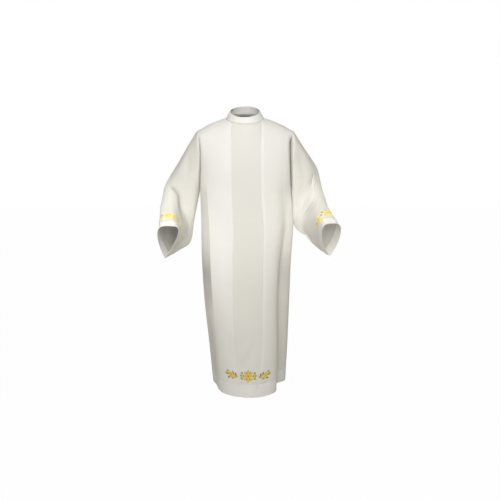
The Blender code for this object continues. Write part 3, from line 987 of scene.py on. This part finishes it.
front = panelSurface(frontPanel, frontCreases, 11)
back = panelSurface(backPanel, backCreases, 23)
pieces = {}
for name, surface, forward in (("front", front, -1), ("back", back, 1)):
    grid, looks = finishPanel(surface)
    pieces[name] = clothPiece(name + "_cloth", grid, looks, False, forward, ivoryMaterial)
    print(name, "panel:", grid.shape)

leftArm = sleeveSurface(leftSleeve, leftCreases, 31)
rightArm = sleeveSurface(rightSleeve, rightCreases, 47)
for name, surface in (("sleeve_left", leftArm), ("sleeve_right", rightArm)):
    grid, looks = finishSleeve(surface)
    pieces[name] = clothPiece(name + "_cloth", grid, looks, True, surface["way"], ivoryMaterial)
    print(name, grid.shape)

bandPoints, bandLooks, bandWay = collarSurface()
pieces["collar"] = clothPiece("collar_band", bandPoints, bandLooks, True, bandWay, collarMaterial)
print("collar:", bandPoints.shape)

for name, piece in pieces.items():
    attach(piece, "root")
    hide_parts(name)

# Shapes sewn on the cloth, each a flat round thread or a heap of satin stitches. A shape
# begins at (x, y) from the motif's middle, in millimetres, with x to the right and y up,
# sets out at heading (0 is right and 90 up) and turns by bend along its length. Its row is x,
# y, heading, length, bend, width and thread.
gold, bronze, olive, litGold, ecru = range(5)


def mirrored(motif):
    return tuple(
        (-x, y, 180 - heading, length, -bend, *rest)
        for x, y, heading, length, bend, *rest in motif
    )


def upsideDown(motif):
    return tuple(
        (x, -y, -heading, length, -bend, *rest) for x, y, heading, length, bend, *rest in motif
    )


# Petals of these lengths that set out from a ring of radius reach round (x, y)
def petals(x, y, reach, first, turn, sizes, width, thread):
    headings = first + turn * np.arange(len(sizes))
    right, up = x + reach * np.cos(np.radians(headings)), y + reach * np.sin(np.radians(headings))
    return tuple((*row, 0, width, thread) for row in zip(right, up, headings, sizes))


rosetteQuarter = (
    (4, 4, 43, 19, 14, 12.3, gold),
    (4, 8, 72, 19, -30, 5.6, bronze),
    (19, 4, 62, 38, -265, 4.7, gold),
    (35, 3, 82, 17, 55, 9.5, olive),
    (27, 14, 30, 13, -45, 7.8, bronze),
    (27, 7, 20, 12, -40, 7.3, gold),
    (16, 13, 55, 11, -20, 6.2, olive),
)
rosetteHalf = (
    (4, 0, 0, 19, 0, 14.6, gold),
    (20, 0, 0, 10, 0, 9.5, bronze),
    (31, 0, 0, 14, 0, 8.4, bronze),
    *rosetteQuarter,
    *upsideDown(rosetteQuarter),
)
rosette = (
    (0, 3, 90, 28, 0, 16.8, gold),
    (0, -3, -90, 30, 0, 16.8, gold),
    (-5, 0, 0, 10, 0, 11.2, bronze),
    (0, 24, 90, 9, 0, 5.6, bronze),
    (0, -27, -90, 7, 0, 5, bronze),
    *rosetteHalf,
    *mirrored(rosetteHalf),
)
spray = (
    *petals(4, 2, 0, 25, 72, (17, 16, 17, 17, 16), 16.6, gold),
    (-0.5, 2, 0, 9, 0, 11.5, bronze),
    (-30, -16, 62, 36, -50, 4.6, olive),
    (-27, -11, 118, 12, -35, 9.6, olive),
    (-24, -9, -12, 16, 34, 10.2, gold),
    (-24, -2, 96, 16, -40, 10.9, bronze),
    (-14, 5, 78, 15, -30, 9.6, bronze),
    (-16, -13, -25, 18, 40, 9.6, olive),
    (9, 13, 48, 31, -220, 5.4, gold),
    (15, 3, -8, 16, 38, 10.2, bronze),
    (20, 8, 40, 15, 30, 10.9, gold),
    (15, 15, 72, 12, -20, 9, bronze),
    (8, -12, -30, 17, 45, 9.6, bronze),
    (28, 1, 55, 12, 30, 8.3, olive),
    (-6, 16, 120, 10, -30, 7.7, gold),
)
# The pale gold of the cuffs' petals is the gold thread made paler there: painted light
sprigHalf = (
    (13, 13, 62, 28, -200, 5.4, litGold),
    (13, -12, -40, 19, 40, 10.2, litGold),
    (20, 3, 10, 12, 30, 9.6, olive),
)
sprig = (
    *petals(0, 0, 3, 90, -60, (20, 19, 19, 20, 19, 19), 16.6, litGold),
    (-4.5, 0, 0, 9, 0, 11.5, gold),
    *sprigHalf,
    *mirrored(sprigHalf),
)

threads = {
    "colours": {
        gold: ("gold thread", (0.80, 0.59, 0.090)),
        bronze: ("bronze thread", (0.42, 0.26, 0.045)),
        olive: ("olive thread", (0.50, 0.44, 0.12)),
        # the gold thread made paler for the cuffs: painted light
        litGold: ("gold thread painted light", (0.95, 0.82, 0.26)),
        ecru: ("ecru thread", (0.74, 0.72, 0.66)),
    },
    "pitch": 0.00045,  # from one satin stitch to the next
    "height": 0.0008,  # of the thickest heap of stitches
    "bump": (0.6, 0.00012),  # strength and height of the stitches' ridges
    "rings": 14,
    "sides": 8,
    "tips": 0.12,  # a shape's width at its ends, as a share of its widest
    "fullness": 0.7,  # power of its swelling between them: less is fuller
    "late": 1.3,  # power of its bend along its length: above 1, most of it comes late
    "flatness": 0.35,  # height of a heap as a share of its width
    "sunk": 0.15,  # of that height, from the cloth's face to the heap's middle
}

stitching = {
    "length": 0.003,
    "gap": 0.0011,
    "width": 0.00042,
    "tips": 0.5,
    "rings": 3,
    "sides": 6,
    "sunk": 0.25,
    "inBand": 0.003,  # how far below the top of a doubled band it runs
}

# Where the hem's motifs lie, in metres: up from the edge, and to either side of the middle.
# The cloth beyond the reach, beside the outer pleats, is kept apart from the middle's.
hemMotifs = {"up": 0.116, "middle": -0.006, "left": -0.088, "right": 0.077, "reach": 0.12}

# Where each cuff's lie: as a share of the ring from the sleeve's top line towards the body,
# and up from the rim. The last number is their scale.
cuffMotifs = {
    "left": ((-0.18, 0.078, 1.0), (-0.01, 0.085, 1.05), (0.105, 0.083, 0.85), (0.225, 0.082, 0.9)),
    "right": ((-0.210, 0.074, 1.0), (-0.030, 0.083, 1.15), (0.185, 0.060, 1.1)),
}


# The shapes' middle lines (count, rings, 2) and widths (count, rings), in metres
def strokeLines(motif, scale, rings):
    x, y, heading, length, bend, width, _ = np.array(motif, float).T[:, :, None]
    share = np.linspace(0, 1, rings)
    head = np.radians(heading + bend * share ** threads["late"])
    ahead = (head[:, 1:] + head[:, :-1]) / 2
    step = (length / (rings - 1))[..., None]
    steps = step * np.stack([np.cos(ahead), np.sin(ahead)], axis=-1)
    start = np.stack([x, y], axis=-1)
    lines = np.concatenate([start, start + np.cumsum(steps, axis=1)], axis=1)
    swell = np.sin(np.pi * share) ** threads["fullness"]
    widths = width * (threads["tips"] + (1 - threads["tips"]) * swell)
    return scale * lines / 1000, scale * widths / 1000


# Points and normals of a cloth's grid at places (right, up) in metres from its point at
# this column and this far above its last row, by bilinear reading along its lines
def onCloth(points, normals, column, above, places):
    down = lengths(points[:, [column]], 0)[:, 0]
    along = lengths(points, 1)
    along = along - along[:, [column]]
    atRow = np.interp(down[-1] - above - places[..., 1], down, np.arange(len(down)))
    low = np.clip(atRow.astype(int), 0, len(down) - 2)
    part = (atRow - low)[..., None]
    row = int(low.flat[0])
    across, upward = points[row, column + 1] - points[row, column], points[row - 1, column]
    turn = np.sign(np.cross(across, upward - points[row, column]) @ normals[row, column])
    right = turn * places[..., 0]
    line = along[low] * (1 - part) + along[low + 1] * part
    left = np.clip((line <= right[..., None]).sum(axis=-1) - 1, 0, line.shape[-1] - 2)
    start, end = (np.take_along_axis(line, (left + i)[..., None], -1)[..., 0] for i in (0, 1))
    share = np.clip((right - start) / (end - start), 0, 1)[..., None]

    def read(grid):
        upper = grid[low, left] * (1 - share) + grid[low, left + 1] * share
        lower = grid[low + 1, left] * (1 - share) + grid[low + 1, left + 1] * share
        return upper * (1 - part) + lower * part

    return read(points), unit(read(normals))


# Closed tubes of elliptical section about middle lines that lie on cloth
def threadTubes(centres, normals, widths, heights, sides):
    count, rings = widths.shape
    ahead = unit(np.gradient(centres, axis=1))
    across = unit(np.cross(normals, ahead))
    upward = np.cross(ahead, across)
    angle = 2 * np.pi * (np.arange(sides) + 0.5) / sides
    wide = (widths / 2)[..., None, None] * np.cos(angle)[:, None] * across[:, :, None]
    high = (heights / 2)[..., None, None] * np.sin(angle)[:, None] * upward[:, :, None]
    points = centres[:, :, None] + wide + high
    half = np.arange(sides // 2 - 1)
    cap = np.stack([half, half + 1, sides - 2 - half, sides - 1 - half], axis=-1)
    walls = gridFaces(rings, sides, True, 1)
    one = np.concatenate([walls, cap[:, ::-1], cap + (rings - 1) * sides])
    faces = (np.arange(count)[:, None, None] * rings * sides + one).reshape(-1, 4)
    run = lengths(centres, 1)[..., None] + 0 * angle
    around = np.broadcast_to(angle, run.shape) * widths[..., None] / 6
    return points.reshape(-1, 3), faces, np.stack([run, around], axis=-1).reshape(-1, 2)


# Satin stitches across each shape: the bump is sin(u / pitch), u being metres along it
def threadMaterial(name, colour):
    nodes = Nodes(bpy.data.materials.new(name))
    axes = nodes.add("ShaderNodeSeparateXYZ", (), {0: nodes.metres()})
    beat = nodes.math("MULTIPLY", axes.outputs["X"], 2 * np.pi / threads["pitch"])
    ridges = nodes.bump(nodes.math("SINE", beat), *threads["bump"])
    nodes.link(ridges, nodes.shader.inputs["Normal"])
    nodes.look({"Base Color": (*colour, 1), "Roughness": 0.42, "Sheen Weight": 0.25})
    return nodes.owner


threadMaterials = {key: threadMaterial(*each) for key, each in threads["colours"].items()}


# One piece from batches of (points, faces, uv, thread of each face)
def threadPiece(name, batches):
    sizes = np.cumsum([0] + [len(batch[0]) for batch in batches])
    points, uv, thread = (np.concatenate([batch[i] for batch in batches]) for i in (0, 2, 3))
    faces = np.concatenate([batch[1] + start for batch, start in zip(batches, sizes)])
    mesh = makeMesh(name, points, faces)
    setUV(mesh, faces, uv)
    used = sorted(set(thread.tolist()))
    for key in used:
        mesh.materials.append(threadMaterials[key])
    index = np.searchsorted(used, thread).astype(np.int32)
    mesh.polygons.foreach_set("material_index", index)
    piece = addObject(name, mesh)
    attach(piece, "root")
    print(name, len(faces), "faces")


# Tubes of these widths and heights along lines of places on the cloth
def sewOn(cloth, column, above, places, widths, heights, kind):
    centres, out = onCloth(*cloth, column, above, places)
    lift = clothSheet["thickness"] / 2 + kind["sunk"] * heights
    return threadTubes(centres + out * lift[..., None], out, widths, heights, kind["sides"])


def sewMotif(motif, scale, cloth, column, above):
    lines, widths = strokeLines(motif, scale, threads["rings"])
    heights = np.minimum(threads["flatness"] * widths, threads["height"])
    tubes = sewOn(cloth, column, above, lines, widths, heights, threads)
    thread = np.array([row[-1] for row in motif])
    return *tubes, np.repeat(thread, len(tubes[1]) // len(thread))


# A running seam along the top of a doubled band, which ends with the grid's last row
def sewSeam(cloth, bandDepth):
    points, normals = cloth
    pitch = stitching["length"] + stitching["gap"]
    length = lengths(points, 1)[-1, -1]
    start = np.arange(pitch / 2, length - pitch, pitch)
    share = np.linspace(0, 1, stitching["rings"])
    right = start[:, None] + share * stitching["length"]
    places = np.stack([right, 0 * right], axis=-1)
    across = np.cross(points[-1, 1] - points[-1, 0], points[-2, 0] - points[-1, 0])
    places[..., 0] *= np.sign(across @ normals[-1, 0])
    swell = stitching["tips"] + (1 - stitching["tips"]) * np.sin(np.pi * share)
    widths = np.broadcast_to(stitching["width"] * swell, right.shape)
    above = bandDepth - stitching["inBand"]
    tubes = sewOn(cloth, 0, above, places, widths, widths, stitching)
    return *tubes, np.full(len(tubes[1]), ecru)


def windowed(surface, columns):
    return surface["points"][:, columns], surface["normals"][:, columns]


# The middle motif lies on the ground between the pleats and the others on their faces
def hemBatches():
    across = front["points"][-detail["hemRows"], :, 0] - bodyRings[-1][4]
    motifs = {"left": (-1, mirrored(spray)), "middle": (0, rosette), "right": (1, spray)}
    batches = []
    for name, (region, motif) in motifs.items():
        shown = front["shows"] & (front["region"] == region)
        columns = np.flatnonzero(shown & ((np.abs(across) < hemMotifs["reach"]) | (region != 0)))
        column = int(np.argmin(np.abs(across[columns] - hemMotifs[name])))
        batches.append(sewMotif(motif, 1, windowed(front, columns), column, hemMotifs["up"]))
    return batches


# A sleeve's grid is turned so that each motif's share of the ring lies in its middle column
def cuffBatches(surface, name):
    around = surface["points"].shape[1]
    batches = []
    for share, above, scale in cuffMotifs[name]:
        columns = (np.arange(1 - around // 2, around // 2) + round(share * around)) % around
        window = windowed(surface, columns)
        batches.append(sewMotif(sprig, scale, window, around // 2 - 1, above))
    return batches


threadPiece("hem_embroidery", hemBatches())
for name, surface in (("left", leftArm), ("right", rightArm)):
    threadPiece("cuff_embroidery_" + name, cuffBatches(surface, name))

seams = []
for surface in (front, back):
    shows = surface["shows"]
    for run in np.split(np.arange(len(shows)), np.flatnonzero(np.diff(shows)) + 1):
        if shows[run[0]] and len(run) > 8:
            seams.append(sewSeam(windowed(surface, run), hem["depth"]))
for surface in (leftArm, rightArm):
    whole = np.r_[np.arange(surface["points"].shape[1]), 0]
    seams.append(sewSeam(windowed(surface, whole), cuff["depth"]))
threadPiece("seam_stitches", seams)


# Each light is a disc: where it is, what it is aimed at, its size, watts, colour and spread
# in degrees
studio = {
    "floorLevel": -1.56,
    "floorSize": 16,
    "fill": 0.345,  # of the warm surround
    "fillColour": (1.0, 0.935, 0.815),
    "floorGlow": 0.03,
    "floorWhite": 0.985,  # how nearly it looks plain white, like the surround, to the camera
    "lights": {
        "near": ((-0.04, -1.35, 0.8), (0.0, -0.1, -0.1), 1.0, 14.9, (0.965, 0.985, 1.02), 180),
        "front": ((0.0, -3.0, -0.5), (0.0, 0.0, -0.8), 1.8, 22.5, (0.965, 0.985, 1.02), 180),
        "leftCuff": ((-1.0, -1.35, 0.05), (-0.42, -0.12, -0.57), 0.5, 0.37, (1.0, 0.99, 0.97), 25),
        "rightCuff": ((0.8, -1.5, -0.2), (0.40, -0.12, -0.52), 0.5, 0.23, (1.0, 0.99, 0.97), 25),
    },
    "view": {"at": (0.025, -2.8, -0.045), "pitch": 12.5, "focal": 39.02},
}


def addFloor():
    size = studio["floorSize"] / 2
    corners = np.array([[-size, -size], [size, -size], [size, size], [-size, size]])
    points = np.column_stack([corners, np.full(4, studio["floorLevel"])])
    mesh = makeMesh("floor", points, np.array([[0, 1, 2, 3]]))
    nodes = Nodes(bpy.data.materials.new("pale floor"))
    nodes.look({"Base Color": (0.7, 0.7, 0.7, 1), "Roughness": 0.9})
    nodes.look({"Emission Color": (1, 1, 1, 1), "Emission Strength": studio["floorGlow"]})
    nodes.seenAs(nodes.add("ShaderNodeEmission"), studio["floorWhite"], "Material Output")
    mesh.materials.append(nodes.owner)
    floor = addObject("floor", mesh)


# A turn that points an object's -Z at a target, with its Y as near to up as can be
def aimed(place, target):
    back = unit(np.array(place, float) - np.array(target, float))
    right = unit(np.cross([0, 0, 1], back))
    matrix = np.eye(4)
    matrix[:3, 0], matrix[:3, 1], matrix[:3, 2] = right, np.cross(back, right), back
    matrix[:3, 3] = place
    return matrix


def addLights():
    for name, (place, target, size, power, colour, spread) in studio["lights"].items():
        light = bpy.data.lights.new(name, "AREA")
        light.shape, light.size, light.energy = "DISK", size, power
        light.color, light.spread = colour, np.radians(spread)
        addObject(name, light).matrix_world = aimed(place, target).T


def addSurround():
    nodes = Nodes(bpy.data.worlds.new("white surround"), "Background")
    nodes.look({"Color": (*studio["fillColour"], 1), "Strength": studio["fill"]})
    nodes.seenAs(nodes.add("ShaderNodeBackground", {"Color": (1, 1, 1, 1)}), 1, "World Output")
    bpy.context.scene.world = nodes.owner


def addCamera():
    view = studio["view"]
    camera = bpy.data.cameras.new("camera")
    camera.lens = view["focal"]
    camera.sensor_width = 36
    eye = addObject("camera", camera)
    eye.location = view["at"]
    eye.rotation_euler = (np.radians(90 - view["pitch"]), 0, 0)
    bpy.context.scene.camera = eye


addFloor()
addLights()
addSurround()
addCamera()
bpy.context.scene.view_settings.view_transform = "Standard"
print("studio ready")
